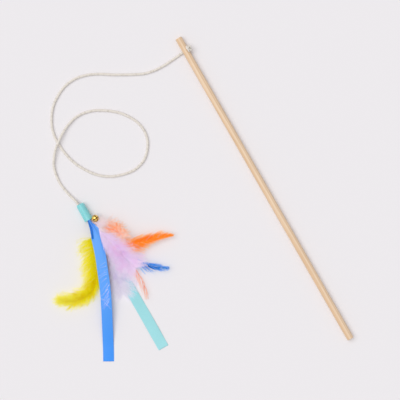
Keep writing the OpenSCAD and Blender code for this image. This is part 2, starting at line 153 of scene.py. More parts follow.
wood, nodes, links, shader = finish("sanded_wood", paint(230, 200, 170), 0.62, {"Specular IOR Level": 0.3})
grain = stretched(nodes, links, on_piece(nodes), (1, 0.02, 1), (-dowel_x - heart_beside, 0, heart_below))
rings = nodes.new("ShaderNodeTexWave")
rings.wave_type = "RINGS"
rings.rings_direction = "Y"
for socket, value in (("Scale", 190), ("Distortion", 5), ("Detail", 3), ("Detail Scale", 1.2)):
    rings.inputs[socket].default_value = value
links.new(grain, rings.inputs["Vector"])
pores = noise(nodes, links, grain, 2600, 4)
ring_colour = ramp(nodes, links, rings.outputs["Color"], (
    (0.0, paint(228, 194, 158)), (0.55, paint(238, 208, 176)), (1.0, paint(242, 216, 187))))
pore_colour = ramp(nodes, links, pores, ((0.3, (0.8, 0.77, 0.73, 1)), (0.55, grey(1))))
links.new(blend_colours(nodes, links, "MULTIPLY", 0.6, ring_colour, pore_colour), shader.inputs["Base Color"])
bump(nodes, links, shader, pores, 0.25, 0.08 * MM)
wear("dowel", wood)

# Cord: a limp 3 mm braid of eight cotton strands, from the dowel's cross hole to the sleeve.
# A grid is rolled into a tube along the route, and each over and under of the braid is pressed in.
cord_d = 3
braid_pitch = 2.5
braid_relief = 0.22
cord_route = [
    (136, 186, 2.05), (133, 185.6, 1.6), (122, 184.6, 1.6), (108, 183.8, 1.6), (94, 184.8, 1.6),
    (80, 189, 1.6), (54, 203, 1.6), (41, 211.4, 1.6), (27, 218.4, 1.6), (12, 222, 1.6),
    (-3, 220.6, 1.6), (-17, 214.4, 1.6), (-29, 205, 1.6), (-38, 192, 1.6), (-42.8, 179, 1.6),
    (-43.8, 166, 1.6), (-42.4, 151, 1.6), (-38.6, 137, 1.6), (-32, 124, 1.6), (-22, 111, 1.6),
    (-9, 101.6, 1.6), (6, 96.4, 1.6), (20, 95, 1.6), (34, 99.4, 1.6), (44.6, 109.6, 1.6),
    (50.4, 122, 1.6), (50.6, 136, 1.6), (45.6, 149, 1.6), (36, 162, 1.6), (23, 172.4, 1.6),
    (8, 180.2, 1.6), (-8, 182.6, 1.9), (-22, 179.4, 3), (-33, 173.8, 4.3), (-43.6, 166.4, 5),
    (-53, 158, 4.3), (-62, 144, 2.2), (-65.2, 125, 1.6), (-62.4, 107, 2.4), (-59, 95.2, 4.4),
    (-59, 91.8, 4.4),
]


def smooth_line(points, step):
    """Places an even step apart on a smooth curve through the points."""
    p = np.array(points, float)
    t = np.linspace(0, 1, 24, endpoint=False)[:, None]
    parts = []
    for i in range(len(p) - 1):
        a, b, c, d = p[max(i - 1, 0)], p[i], p[i + 1], p[min(i + 2, len(p) - 1)]
        parts.append((2 * b + (c - a) * t + (2 * a - 5 * b + 4 * c - d) * t ** 2
                      + (3 * b - a - 3 * c + d) * t ** 3) / 2)
    dense = np.vstack(parts + [p[-1:]])
    run = np.concatenate([[0], np.cumsum(np.linalg.norm(np.diff(dense, axis=0), axis=1))])
    at = np.linspace(0, run[-1], max(3, round(run[-1] / step) + 1))
    return np.stack([np.interp(at, run, dense[:, k]) for k in range(3)], axis=1), at


def unit(v):
    """Vectors of length 1."""
    return v / np.maximum(np.linalg.norm(v, axis=-1, keepdims=True), 1e-9)


def directions(line):
    """Unit directions along a line of points."""
    return unit(np.gradient(line, axis=0))


def braid(turn, run, radius):
    """Radius of a braid of eight strands at a share of a turn and a run along it."""
    a, b = 4 * turn + run / braid_pitch, 4 * turn - run / braid_pitch

    def strand(own, other, sign):
        round_top = np.sqrt(1 - 0.85 * (2 * (own % 1) - 1) ** 2)
        return 0.55 * round_top + 0.45 * sign * np.sin(np.pi * (other + np.floor(own)))
    return radius * (1 - braid_relief + braid_relief * np.maximum(strand(a, b, 1), strand(b, a, -1)))


def hang(name, bm):
    """Makes the object of a finished bmesh."""
    mesh = bpy.data.meshes.new(name)
    bm.to_mesh(mesh)
    bm.free()
    made = bpy.data.objects.new(name, mesh)
    bpy.context.scene.collection.objects.link(made)
    return made


def rolled_tube(name, line, run, sides, skin, first=None):
    """A grid rolled round a line: skin(turn, run) is its radius. Its UV map is turns and runs in mm."""
    bm = bmesh.new()
    uv = bm.loops.layers.uv.new("cloth")
    rows = len(line)
    bmesh.ops.create_grid(bm, x_segments=sides, y_segments=rows - 1, size=0.5)
    along = directions(line)
    if first is not None:
        along[0] = first
    side = np.zeros_like(along)
    side[0] = np.cross((0, 0, 1), along[0])
    for i in range(1, rows):
        side[i] = side[i - 1] - along[i] * side[i - 1].dot(along[i])
        side[i] /= np.linalg.norm(side[i])
    side[0] /= np.linalg.norm(side[0])
    up = np.cross(along, side)
    bm.verts.ensure_lookup_table()
    grid = np.array([v.co[:2] for v in bm.verts]) + 0.5
    turn, row = grid[:, 0], np.rint(grid[:, 1] * (rows - 1)).astype(int)
    angle = -2 * np.pi * turn
    outward = np.cos(angle)[:, None] * side[row] + np.sin(angle)[:, None] * up[row]
    places = line[row] + skin(turn, run[row])[:, None] * outward
    for face in bm.faces:
        for loop in face.loops:
            k = loop.vert.index
            loop[uv].uv = (turn[k], run[row[k]])
    for v, co in zip(bm.verts, places * MM):
        v.co = co
    bmesh.ops.remove_doubles(bm, verts=bm.verts, dist=0.002 * MM)
    bmesh.ops.holes_fill(bm, edges=[e for e in bm.edges if e.is_boundary], sides=0)
    bmesh.ops.recalc_face_normals(bm, faces=bm.faces)
    for face in bm.faces:
        face.smooth = True
    return hang(name, bm)


def along_cloth(nodes):
    """Places on a cord, thread or ribbon: round or across it, and along it in mm."""
    made = nodes.new("ShaderNodeUVMap")
    made.uv_map = "cloth"
    return made.outputs["UV"]


cotton, nodes, links, shader = finish("cord_cotton", paint(214, 205, 196), 0.85, {
    "Specular IOR Level": 0.2, "Sheen Weight": 0.25})
place = along_cloth(nodes)
fibres = noise(nodes, links, stretched(nodes, links, place, (60, 4, 1)), 1.6, 3)
flecks = noise(nodes, links, stretched(nodes, links, place, (1.5, 0.4, 1)), 1, 1)
weave = nodes.new("ShaderNodeAttribute")
weave.attribute_name = "depth"
# Painted shade and highlight: the yarn's colour darkens deep between the strands and lightens on their tops,
# read from the stored depth.
groove_shade = ramp(nodes, links, weave.outputs["Fac"], (
    (0.0, paint(136, 123, 110)), (0.5, paint(225, 216, 206)), (1.0, paint(244, 238, 230))))
tint = ramp(nodes, links, fibres, ((0.3, (0.88, 0.87, 0.85, 1)), (0.6, grey(1))))
dark_yarn = ramp(nodes, links, flecks, ((0.36, (0.42, 0.39, 0.36, 1)), (0.48, grey(1))))
shaded_yarn = blend_colours(nodes, links, "MULTIPLY", 0.7, groove_shade, tint)
links.new(blend_colours(nodes, links, "MULTIPLY", 0.28, shaded_yarn, dark_yarn), shader.inputs["Base Color"])
bump(nodes, links, shader, fibres, 0.4, 0.08 * MM)


def mark_depth(made, line, diameter):
    """Stores how deep each point lies in the braid, from 0 in a groove to 1 on top."""
    count = len(made.data.vertices)
    places = np.empty(count * 3)
    made.data.vertices.foreach_get("co", places)
    places = places.reshape(-1, 3) / MM
    nearest = np.empty(count)
    batch = 4000
    for start in range(0, count, batch):
        part = places[start:start + batch]
        centre = line[np.argmin(((part[:, None] - line[None]) ** 2).sum(axis=2), axis=1)]
        nearest[start:start + batch] = np.linalg.norm(part - centre, axis=1)
    deepest = 1.3 * braid_relief
    share = (nearest / (diameter / 2) - 1 + deepest) / deepest
    made.data.attributes.new("depth", "FLOAT", "POINT").data.foreach_set("value", np.clip(share, 0, 1))


def braided(name, line, run, diameter, sides, first=None):
    """A braided tube with its depth in the braid marked for the material's painted shade."""
    made = rolled_tube(name, line, run, sides, lambda turn, at: braid(turn, at, diameter / 2), first)
    made.data.materials.append(cotton)
    mark_depth(made, line, diameter)
    return made


exit_tilt = math.radians(26)
line, run = smooth_line(cord_route, 0.42)
out_of_hole = np.array((-math.cos(exit_tilt), 0, -math.sin(exit_tilt)))
cord = braided("braided_cord", line, run, cord_d, sides=28, first=out_of_hole)
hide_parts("cord")
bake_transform(cord)

# Stopper knot: the cord runs through the dowel's cross hole and is tied in an overhand knot behind it.
# The braid is pulled thinner there, and the knot lies tight against the dowel's flank.
shank = [(136.2, 186, 2.15), (140, 186, 4), (143.6, 186, 5.76), (144.9, 186, 6.6)]
squeezed_d = cord_d * 0.97
knot_strand = 2.2
knot_tilt = math.radians(48)
knot_reach = 6.15


def overhand(size, swing, height):
    """The line of an overhand knot, with a gap where the cord runs in and out."""
    turns = np.radians(np.linspace(8, 352, 160))
    ring = size + swing * np.cos(3 * turns)
    return np.stack([0.8 * ring * np.sin(2 * turns), ring * np.cos(2 * turns),
                     height * np.sin(3 * turns)], axis=1)


line, run = smooth_line(shank, 0.4)
tail_in_hole = braided("knot_shank", line, run, squeezed_d, sides=28)
behind_dowel = (Matrix.Translation(shank[1]) @ Matrix.Rotation(knot_tilt, 4, "Y")
                @ Matrix.Translation((0, 0, knot_reach)))
line, run = smooth_line([behind_dowel @ Vector(p) for p in overhand(size=2.6, swing=1.1, height=1.3)], 0.35)
stopper_knot = braided("knotted_cord", line, run, knot_strand, sides=24)
for piece in (tail_in_hole, stopper_knot):
    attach(piece, "handle")
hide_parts("stopper_knot")

# Cord end: inside the sleeve the cord ends in a second knot, held in the set glue.
# Only its first millimetres show, in the sleeve's rounded opening.
last_stretch = [(-59, 94.6, 4.4), (-59, 88, 4.4), (-58.9, 84, 4.5), (-58.4, 81, 4.9)]
end_knot_middle = Vector((-58.3, 79.9, 5.15))
end_knot_strand = 1.5
line, run = smooth_line(last_stretch, 0.4)
cord_end = braided("cord_in_sleeve", line, run, squeezed_d, sides=28)
end_turns = overhand(size=1.35, swing=0.35, height=0.9)
line, run = smooth_line([Vector(p) + end_knot_middle for p in end_turns], 0.35)
end_knot = braided("cord_end_knot", line, run, end_knot_strand, sides=20)
for piece in (cord_end, end_knot):
    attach(piece, "lure")
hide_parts("cord_end")

# Sleeve: a soft aqua plastic cap, slightly tapered, with a rounded shoulder and a wide opening for the cord.
# The light goes a little way into it, so its shadow side stays clear and green.
aqua_plastic, nodes, links, shader = finish("sleeve_plastic", paint(136, 212, 216), 0.34, {
    "Subsurface Weight": 0.35, "Subsurface Scale": 2 * MM, "Subsurface Radius": (0.5, 1, 1)})
haze = noise(nodes, links, on_piece(nodes), 260)
links.new(ramp(nodes, links, haze, ((0.3, paint(132, 212, 216)), (0.7, paint(140, 217, 222)))),
          shader.inputs["Base Color"])
bump(nodes, links, shader, haze, 0.06, 0.1 * MM)
wear("sleeve", aqua_plastic)

# Glue and binding: set glue fills the sleeve round the cord's end, and a wound thread binds the roots.
# The thread is one helix of close turns round the glue's waist.
glue, nodes, links, shader = finish("set_glue", paint(240, 240, 228), 0.25, {"Transmission Weight": 0.35})
cloud = noise(nodes, links, on_piece(nodes), 500)
links.new(ramp(nodes, links, cloud, ((0.35, paint(232, 230, 214)), (0.65, paint(245, 245, 236)))),
          shader.inputs["Base Color"])
wear("glue_plug", glue)


def bands(nodes, links, where, direction, scale, distortion=0):
    """Even bands across one direction."""
    made = nodes.new("ShaderNodeTexWave")
    made.bands_direction = direction
    made.inputs["Scale"].default_value = scale
    made.inputs["Distortion"].default_value = distortion
    links.new(where, made.inputs["Vector"])
    return made.outputs["Color"]


thread, nodes, links, shader = finish("pale_thread", paint(236, 231, 220), 0.7, {"Sheen Weight": 0.2})
lay = bands(nodes, links, along_cloth(nodes), "DIAGONAL", 1.3)
links.new(ramp(nodes, links, lay, ((0.0, paint(214, 206, 190)), (0.6, paint(240, 236, 226)))),
          shader.inputs["Base Color"])
bump(nodes, links, shader, lay, 0.4, 0.05 * MM)


def wound(name, line, run, radius, node):
    """A thread along a line, on the lure's body in place of its CAD node."""
    made = rolled_tube(name, line, run, sides=8, skin=lambda turn, at: np.full(len(turn), radius))
    made.data.materials.append(thread)
    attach(made, "lure")
    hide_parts(node)


binding_r = 0.225
binding_l = 4.35
coil_r = 3.58
coil_start = (-57, 72.55, 5.15)
laps = 10
lap = np.linspace(0, laps, laps * 40 + 1)
coil = np.stack([
    coil_start[0] + coil_r * np.cos(2 * np.pi * lap),
    coil_start[1] + lap * (binding_l / laps),
    coil_start[2] + coil_r * np.sin(2 * np.pi * lap)], axis=1)
wound("wound_thread", coil, 2 * np.pi * coil_r * lap, binding_r, "thread_binding")

# Bell tie: a loop of the same thread that comes out of the mouth and holds the bell by its wire loop.
# Its two strands run side by side out of the glue and round the wire in one tight bend.
tie_r = 0.2
bend_r = 0.65
root_r = 0.5
tie_l = 4.4
lean = math.radians(-14)
hook = np.array((-52.3, 68.77, 4.85))
ahead = np.array((math.cos(lean), math.sin(lean), 0))
aside = np.array((-ahead[1], ahead[0], 0))
bend = [hook + bend_r * (math.cos(a) * ahead + math.sin(a) * aside)
        for a in np.linspace(-math.pi / 2, math.pi / 2, 13)]
out_of_glue = [hook - tie_l * ahead - root_r * aside, hook - tie_l / 2 * ahead - bend_r * aside]
back_again = [hook - tie_l / 2 * ahead + bend_r * aside, hook - tie_l * ahead + root_r * aside]
line, run = smooth_line(out_of_glue + bend + back_again, 0.15)
wound("bell_thread", line, run, tie_r, "bell_tie")

# Bell: two pressed half shells of gold-coloured brass with a wire loop, and a loose dark steel ball inside.
# The metal is bright outside, with soft scuffs from handling; inside, it is painted near-black and dull as
# painted shade, so that the holes show dark.
bell_middle = np.array((-49.2, 68, 9.05))
shell_inside = 3.8
brass, nodes, links, shader = finish("bell_brass", paint(240, 198, 108), 0.2, {"Metallic": 1})


def work_out(nodes, links, how, first, second):
    """One value from two, each a number or a node's output."""
    step = nodes.new("ShaderNodeMath")
    step.operation = how
    feed(links, step.inputs[0], first)
    feed(links, step.inputs[1], second)
    return step.outputs["Value"]


place = on_piece(nodes)
scuffs = noise(nodes, links, place, 900, 5)
from_middle = nodes.new("ShaderNodeVectorMath")
from_middle.operation = "DISTANCE"
from_middle.inputs[1].default_value = tuple(bell_middle * MM)
links.new(place, from_middle.inputs[0])
# Painted shade: everything within the shell's inner radius gets a near-black colour.
painted_dark_inside = work_out(nodes, links, "LESS_THAN", from_middle.outputs["Value"], shell_inside * MM)
polished = ramp(nodes, links, scuffs, ((0.3, paint(222, 174, 80)), (0.6, paint(250, 212, 124))))
grip = ramp(nodes, links, scuffs, ((0.35, grey(0.14)), (0.7, grey(0.34))))
for socket, outer, inner in (("Base Color", polished, paint(12, 8, 5)), ("Roughness", grip, grey(0.7))):
    links.new(blend_colours(nodes, links, "MIX", painted_dark_inside, outer, inner), shader.inputs[socket])
bump(nodes, links, shader, scuffs, 0.1, 0.05 * MM)
for node in ("bell_loop", "bell_cap", "bell_bowl"):
    wear(node, brass)

steel, nodes, links, shader = finish("pellet_steel", paint(40, 38, 37), 0.6, {"Metallic": 1})
rubbed = noise(nodes, links, on_piece(nodes), 1400)
links.new(ramp(nodes, links, rubbed, ((0.3, paint(24, 23, 22)), (0.6, paint(48, 46, 45)))),
          shader.inputs["Base Color"])
wear("bell_pellet", steel)

# Ribbons: half-inch woven ribbon, cut square, gathered in pleats where the sleeve's mouth pinches it.
# Each is one sheet that opens flat a little way out, and comes to rest on the feathers or the surface.
# The paths are shares of the ribbon's length from the root, with the height in mm.
ribbon_w = 12.7
ribbon_t = 0.3
lift = 0.02
across = 36
pinch = math.radians(112)
tone_l = 174
# Width and length in mm of the strip of painted shade along one edge near the root.
fold_shade_w = 3.2
fold_shade_l = 25
root = np.array((-57, 70.5))
blue_path = [
    (0, 0.006, 8.7), (0, -0.014, 8.8), (-0.001, -0.037, 9.1), (0.001, -0.06, 9.4), (-0.001, -0.092, 9.8),
    (-0.018, -0.155, 10.3), (-0.048, -0.25, 10.7), (-0.086, -0.346, 10.7), (-0.117, -0.424, 10.7),
    (-0.151, -0.502, 10.5), (-0.192, -0.584, 9), (-0.234, -0.664, 6), (-0.298, -0.785, 1.5),
    (-0.33, -0.845, 0.6), (-0.364, -0.906, 0.32),
]
aqua_path = [
    (0, 0.006, 1.7), (0, -0.014, 1.6), (0.004, -0.05, 1.3), (0.008, -0.09, 1), (0.009, -0.25, 0.5),
    (0.009, -0.5, 0.4), (0.01, -0.75, 0.4), (0.008, -1, 0.34),
]


def ease(t):
    """Eased step from 0 to 1."""
    t = np.clip(t, 0, 1)
    return t * t * (3 - 2 * t)


def beside(along):
    """Level directions to the left of a line's own."""
    return unit(np.stack([-along[:, 1], along[:, 0], np.zeros(len(along))], axis=1))


def added_up(v, step):
    """Sums of steps across the ribbon, counted from its middle."""
    total = np.cumsum(0.5 * (v[:, 1:] + v[:, :-1]) * step, axis=1)
    total = np.concatenate([np.zeros((len(v), 1)), total], axis=1)
    return total - total[:, [across // 2]]


def ribbon(name, path, length, pleats, opens, fold, ripple, material):
    """A grid bent along its path: pleated at the root, with folds of its own at the edges, and ripples.
    Fold(s, out) is a slope and ripple(s, out) a height, at s across from -1 to 1 and out from the root."""
    line, run = smooth_line([(root[0] + x * length, root[1] + y * length, z) for x, y, z in path], 0.9)
    along = directions(line)
    flat = beside(along)
    up = np.cross(along, flat)
    s = np.linspace(-1, 1, across + 1)[None]
    out = run[:, None]
    slope = pinch * (1 - ease((out - 1) / opens)) * np.cos(pleats * np.pi * s + 0.4) + fold(s, out)
    sideways = added_up(np.cos(slope), ribbon_w / across)
    height = added_up(np.sin(slope), ribbon_w / across)
    closed = 1 - ease(run / opens)
    sideways -= (0.5 * (sideways.max(axis=1) + sideways.min(axis=1)) * closed)[:, None]
    height = height - height.mean(axis=1)[:, None] * closed[:, None] + ripple(s, out)
    places = line[:, None] + sideways[..., None] * flat[:, None] + height[..., None] * up[:, None]
    places[..., 2] = np.maximum(places[..., 2], 0.5 * ribbon_t + lift)
    bm = bmesh.new()
    uv = bm.loops.layers.uv.new("cloth")
    bmesh.ops.create_grid(bm, x_segments=across, y_segments=len(line) - 1, size=0.5)
    for v in bm.verts:
        i, k = round((v.co.y + 0.5) * (len(line) - 1)), round((v.co.x + 0.5) * across)
        for loop in v.link_loops:
            loop[uv].uv = (k / across * ribbon_w, run[i])
        v.co = places[i, k] * MM
    for face in bm.faces:
        face.smooth = True
    bmesh.ops.recalc_face_normals(bm, faces=bm.faces)
    made = hang(name, bm)
    made.data.materials.append(material)
    cloth = made.modifiers.new("thickness", "SOLIDIFY")
    cloth.thickness = ribbon_t * MM
    cloth.offset = 0
    return made, line, run[-1]


def ribbon_finish(name, dark, light, fold_shade, roughness, rib, sheen):
    """Woven ribbon: fine ribs across it, a tone that deepens along it, and painted shade on a strip along one
    edge near the root.
    """
    made, nodes, links, shader = finish(name, light, roughness, {
        "Specular IOR Level": 0.35, "Sheen Weight": sheen})
    place = along_cloth(nodes)
    ribs = bands(nodes, links, place, "Y", rib, 0.4)
    apart = nodes.new("ShaderNodeSeparateXYZ")
    links.new(place, apart.inputs["Vector"])
    along = nodes.new("ShaderNodeMapRange")
    along.inputs["From Max"].default_value = tone_l
    links.new(apart.outputs["Y"], along.inputs["Value"])
    tone = ramp(nodes, links, along.outputs["Result"], ((0.3, light), (1.0, dark)))
    line_tone = ramp(nodes, links, ribs, ((0.0, grey(0.9)), (0.5, grey(1))))
    tone = blend_colours(nodes, links, "MULTIPLY", 1.0, tone, line_tone)
    # Painted shade: a strip along the left edge near the root takes the darker colour, for the shade where
    # that edge is turned.
    within = []
    for axis, reach in (("X", fold_shade_w), ("Y", fold_shade_l)):
        edge = nodes.new("ShaderNodeMapRange")
        edge.inputs["From Min"].default_value = reach
        edge.inputs["From Max"].default_value = reach - 0.6
        links.new(apart.outputs[axis], edge.inputs["Value"])
        within.append(edge.outputs["Result"])
    fold_shade_mask = work_out(nodes, links, "MULTIPLY", within[0], within[1])
    links.new(blend_colours(nodes, links, "MIX", fold_shade_mask, tone, fold_shade), shader.inputs["Base Color"])
    bump(nodes, links, shader, ribs, 0.25, 0.04 * MM)
    return made


def blue_folds(s, out):
    """The left edge is turned over near the root, and the right one is turned down a little further out."""
    left = math.radians(40) * ease((-0.4 - s) / 0.12) * (1 - ease((out - 20) / 8))
    right = math.radians(46) * ease((s - 0.4) / 0.3) * ease((out - 5) / 12) * (1 - ease((out - 30) / 24))
    return -left - right


def blue_ripple(s, out):
    """Small waves on the upper half, and a slightly rounded back."""
    close = 0.2 * np.sin(1.1 * out + 1.6 * s) * np.exp(-((out - 66) / 8) ** 2)
    slow = 0.16 * np.sin(0.31 * out - 1.4 * s + 1) * np.exp(-((out - 80) / 22) ** 2)
    return close + slow - 0.35 * s ** 2


def aqua_ripple(s, out):
    """One long, low wave on the lower half."""
    free = ease((out - 60) / 40) * (1 - ease((out - 150) / 24))
    return 0.5 * free * (1 + np.sin(0.09 * out)) * (1 - 0.6 * s ** 2)


def lay_sheet(piece, node):
    """Sets a ribbon on its own leaf in place of its CAD node."""
    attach(piece, node + "_leaf")
    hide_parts(node)


# Each ribbon's third, darker colour is painted shade for the strip along one edge near the root.
blue_satin = ribbon_finish("blue_satin", dark=paint(52, 150, 255), light=paint(96, 168, 253),
                           fold_shade=paint(0, 112, 212), roughness=0.42, rib=1.3, sheen=0.1)
blue_ribbon, blue_line, blue_l = ribbon("blue_ribbon_cloth", blue_path, length=172, pleats=2.5, opens=26,
                                        fold=blue_folds, ripple=blue_ripple, material=blue_satin)
lay_sheet(blue_ribbon, "blue_ribbon")

aqua_weave = ribbon_finish("aqua_grosgrain", dark=paint(168, 230, 236), light=paint(154, 218, 224),
                           fold_shade=paint(140, 208, 214), roughness=0.75, rib=0.8, sheen=0.2)
aqua_ribbon, _, aqua_l = ribbon("aqua_ribbon_cloth", aqua_path, length=174, pleats=2.0, opens=24,
                                fold=lambda s, out: 0, ripple=aqua_ripple, material=aqua_weave)
lay_sheet(aqua_ribbon, "aqua_ribbon")

# Yellow marabou: a thin quill with long soft barbs on both sides, and down all round every barb.
# The quill runs under the blue ribbon's edge and then bends away from it. The dye is strongest at the
# quill and pale at the barbs' tips, and light falls through the down.
barb_w = 0.12
hair_w = (0.11, 0.02)
bell_clearance = 4.3
yellow_shares = [
    (0, 0.017), (-0.03, -0.1), (-0.084, -0.24), (-0.145, -0.385), (-0.208, -0.54), (-0.275, -0.68),
    (-0.352, -0.79), (-0.45, -0.86), (-0.57, -0.88), (-0.7, -0.857), (-0.81, -0.8), (-0.885, -0.75),
]


def quill(shares, length, heights):
    """A quill's line in mm, and the share of it run at each point. Heights are at root, bend and tip."""
    line, run = smooth_line([(root[0] + x * length, root[1] + y * length, 0) for x, y in shares], 0.5)
    share = run / run[-1]
    line[:, 2] = np.interp(share, (0, 0.3, 1), heights)
    return line, share


def barb_plan(longest, places, left, right):
    """A barb's length at a share of the quill, on its left or its right."""
    return lambda at, is_left: longest * np.interp(at, places, left if is_left else right)


def strips(centres, widths, sideways, mark):
    """Places, faces and marks of thin strips: each strand bends a copy of a grid one face wide."""
    count, rows = centres.shape[:2]
    widths, sideways = np.broadcast_to(widths, (count, rows)), np.broadcast_to(sideways, centres.shape)
    bm = bmesh.new()
    bmesh.ops.create_grid(bm, x_segments=1, y_segments=rows - 1, size=0.5)
    to_side = np.array([v.co.x for v in bm.verts])
    row = np.array([round((v.co.y + 0.5) * (rows - 1)) for v in bm.verts])
    faces = np.array([[v.index for v in face.verts] for face in bm.faces])
    bm.free()
    places = centres[:, row] + (to_side * widths[:, row])[..., None] * sideways[:, row]
    corners = faces[None] + (np.arange(count) * len(row))[:, None, None]
    return places.reshape(-1, 3), corners.reshape(-1, 4), mark[:, row].reshape(-1, 3)


def marks(luck, on_barb, on_quill, rows):
    """What the material reads at each point of each strand: its chance, place on barb and place on quill."""
    return np.stack([np.broadcast_to(v, (len(luck), rows)) for v in (luck, on_barb, on_quill)], axis=2)


def crossed(line, along, flat, width, mark):
    """Two crossed strips along one line, so that it shows from all sides."""
    return [strips(line[None], width, side[None], mark) for side in (flat, np.cross(along, flat))]


def quill_strips(line, share, along, flat):
    """The quill, which tapers to its tip."""
    width = np.interp(share, (0, 0.1, 1), (0.75, 0.6, 0.12))
    return crossed(line, along, flat, width, marks(np.array([[0.5]]), 0, share, len(share)))


def feather_mesh(name, parts, material):
    """One mesh of all the strips of a feather, with their marks."""
    places, faces, strand_marks, start = [], [], [], 0
    for part_places, part_faces, part_marks in parts:
        places.append(part_places)
        faces.append(part_faces + start)
        strand_marks.append(part_marks)
        start += len(part_places)
    places, faces, strand_marks = np.vstack(places) * MM, np.vstack(faces), np.vstack(strand_marks)
    mesh = bpy.data.meshes.new(name)
    mesh.vertices.add(len(places))
    mesh.vertices.foreach_set("co", places.ravel())
    mesh.loops.add(faces.size)
    mesh.loops.foreach_set("vertex_index", faces.ravel().astype(np.int32))
    mesh.polygons.add(len(faces))
    mesh.polygons.foreach_set("loop_start", np.arange(0, faces.size, 4, dtype=np.int32))
    mesh.polygons.foreach_set("use_smooth", np.ones(len(faces), bool))
    mesh.update(calc_edges=True)
    colours = np.concatenate([strand_marks, np.ones((len(places), 1))], axis=1)
    mesh.attributes.new("strand", "FLOAT_COLOR", "POINT").data.foreach_set("color", colours.ravel())
    mesh.materials.append(material)
    made = bpy.data.objects.new(name, mesh)
    bpy.context.scene.collection.objects.link(made)
    return made


def by_ribbon(places):
    """The places' reach from the root, the blue ribbon's middle there, and how far beside it they lie."""
    reach = np.linalg.norm(places[..., :2] - root, axis=-1)
    ribbon_reach = np.maximum.accumulate(np.linalg.norm(blue_line[:, :2] - root, axis=1))
    middle = np.stack([np.interp(reach, ribbon_reach, blue_line[:, k]) for k in range(3)], axis=-1)
    return reach, middle, np.linalg.norm(places[..., :2] - middle[..., :2], axis=-1)


def lie(places, floor, top):
    """Strands rest on what is under them, pack closer above their top, and pass under the blue ribbon."""
    z = np.maximum(places[..., 2], floor) + 0.12 * np.maximum(floor - places[..., 2], 0)
    z = np.where(z > top, top + 4 * np.tanh((z - top) / 4), z)
    reach, middle, aside = by_ribbon(places)
    half_w = np.interp(reach, (0, 4, 10), (3.4, 5.8, 6.9))
    under = middle[..., 2] - np.interp(reach, (0, 8, 24), (2.8, 2.3, 0.8))
    places[..., 2] = np.minimum(z, np.maximum(under, floor) + 1.6 * np.maximum(aside - half_w, 0))


def grown(line, along, flat, here, side, angle, rise, long):
    """Headings and points of barbs that leave the quill here, each with an angle and a rise on its way."""
    heading = (np.cos(angle) * np.cos(rise))[..., None] * along[here][:, None] \
        + (side * np.sin(angle) * np.cos(rise))[..., None] * flat[here][:, None]
    heading[..., 2] += np.sin(rise)
    steps = heading * (long / (angle.shape[1] - 1))[:, None, None]
    return unit(heading), line[here][:, None] + np.cumsum(steps, axis=1) - steps[:, :1]


def facing(heading, spread):
    """The way in which each strip is wide: nearly level, and a little turned by chance."""
    return unit(np.cross(heading, unit(chance.normal(0, spread, (len(heading), 1, 3)) + (0, 0, 1))))


def beside_bell(strand):
    """Marks the strands that don't pass through the bell or lie on it."""
    return np.linalg.norm(strand[..., :2] - bell_middle[:2], axis=-1).min(axis=1) > bell_clearance


def marabou(name, line, share, at, hairs, barb_l, lean, hair_l, floor, top, material, loose=()):
    """Barbs leave the quill at a lean, bend towards its tip and wander; down stands all round each barb
    and thins out to its tip. Barb_l(at, left) is a barb's length. Loose barbs have lines of their own."""
    along = directions(line)
    flat = beside(along)
    count, rows = len(at), 9
    w = np.linspace(0, 1, rows)[None]
    here = np.clip(np.searchsorted(share, at), 0, len(line) - 1)
    side = np.where(np.arange(count) % 2, 1.0, -1.0)[:, None]
    long = np.where(side[:, 0] > 0, barb_l(at, True), barb_l(at, False)) * chance.uniform(0.5, 1.15, count)
    angle = np.radians(np.interp(at, *lean) + chance.normal(0, 10, count))[:, None] * (1 - 0.45 * w) \
        + np.radians(chance.normal(0, 12, (count, 1))) * w \
        + np.radians(chance.normal(0, 9, (count, 1))) * np.sin(
            w * chance.uniform(3, 9, (count, 1)) + chance.uniform(0, 6, (count, 1)))
    rise = np.radians(chance.normal(4, 18, (count, 1))) * (1 - 1.5 * w) \
        + np.radians(chance.normal(0, 14, (count, 1))) * np.sin(2.4 * w)
    heading, centres = grown(line, along, flat, here, side, angle, rise, long)
    lie(centres, floor, top)
    luck = chance.uniform(0, 1, count)
    mark = marks(luck[:, None], w, at[:, None], rows)
    face = facing(heading, 0.8)
    clear = beside_bell(centres)
    parts = [strips(centres[clear], barb_w * (1.05 - 0.9 * w), face[clear], mark[clear])]

    owner = chance.choice(count, hairs, p=long / long.sum())
    place = chance.uniform(0.02, 1, hairs) ** 1.3
    spot = place * (rows - 1)
    low = np.minimum(spot.astype(int), rows - 2)
    part = (spot - low)[:, None]
    base = centres[owner, low] * (1 - part) + centres[owner, low + 1] * part
    ahead = heading[owner, low]
    around = unit(np.cross(ahead, chance.normal(0, 1, (hairs, 3))))
    tilt = np.radians(chance.uniform(26, 74, hairs))[:, None]
    reach = hair_l * (chance.uniform(0.45, 1.3, hairs) * (1.15 - 0.65 * place))[:, None]
    strand = np.stack([base, base + reach * (np.cos(tilt) * ahead + np.sin(tilt) * around)], axis=1)
    lie(strand, floor, top + 1.5)
    face = facing(unit(strand[:, 1:] - strand[:, :1]), 0.8)
    mark = marks(luck[owner][:, None], place[:, None], at[owner][:, None], 2)
    clear = beside_bell(strand)
    parts.append(strips(strand[clear], hair_w, face[clear], mark[clear]))

    parts += quill_strips(line, share, along, flat)
    for points, width in loose:
        bare, run = smooth_line(points, 0.8)
        passed = run / run[-1]
        bare_along = directions(bare)
        parts += crossed(bare, bare_along, unit(np.cross((0, 0, 1), bare_along)), width * (1 - 0.7 * passed),
                         marks(np.array([[0.7]]), 0.02 * passed, 0.6, len(bare)))
    return feather_mesh(name, parts, material)


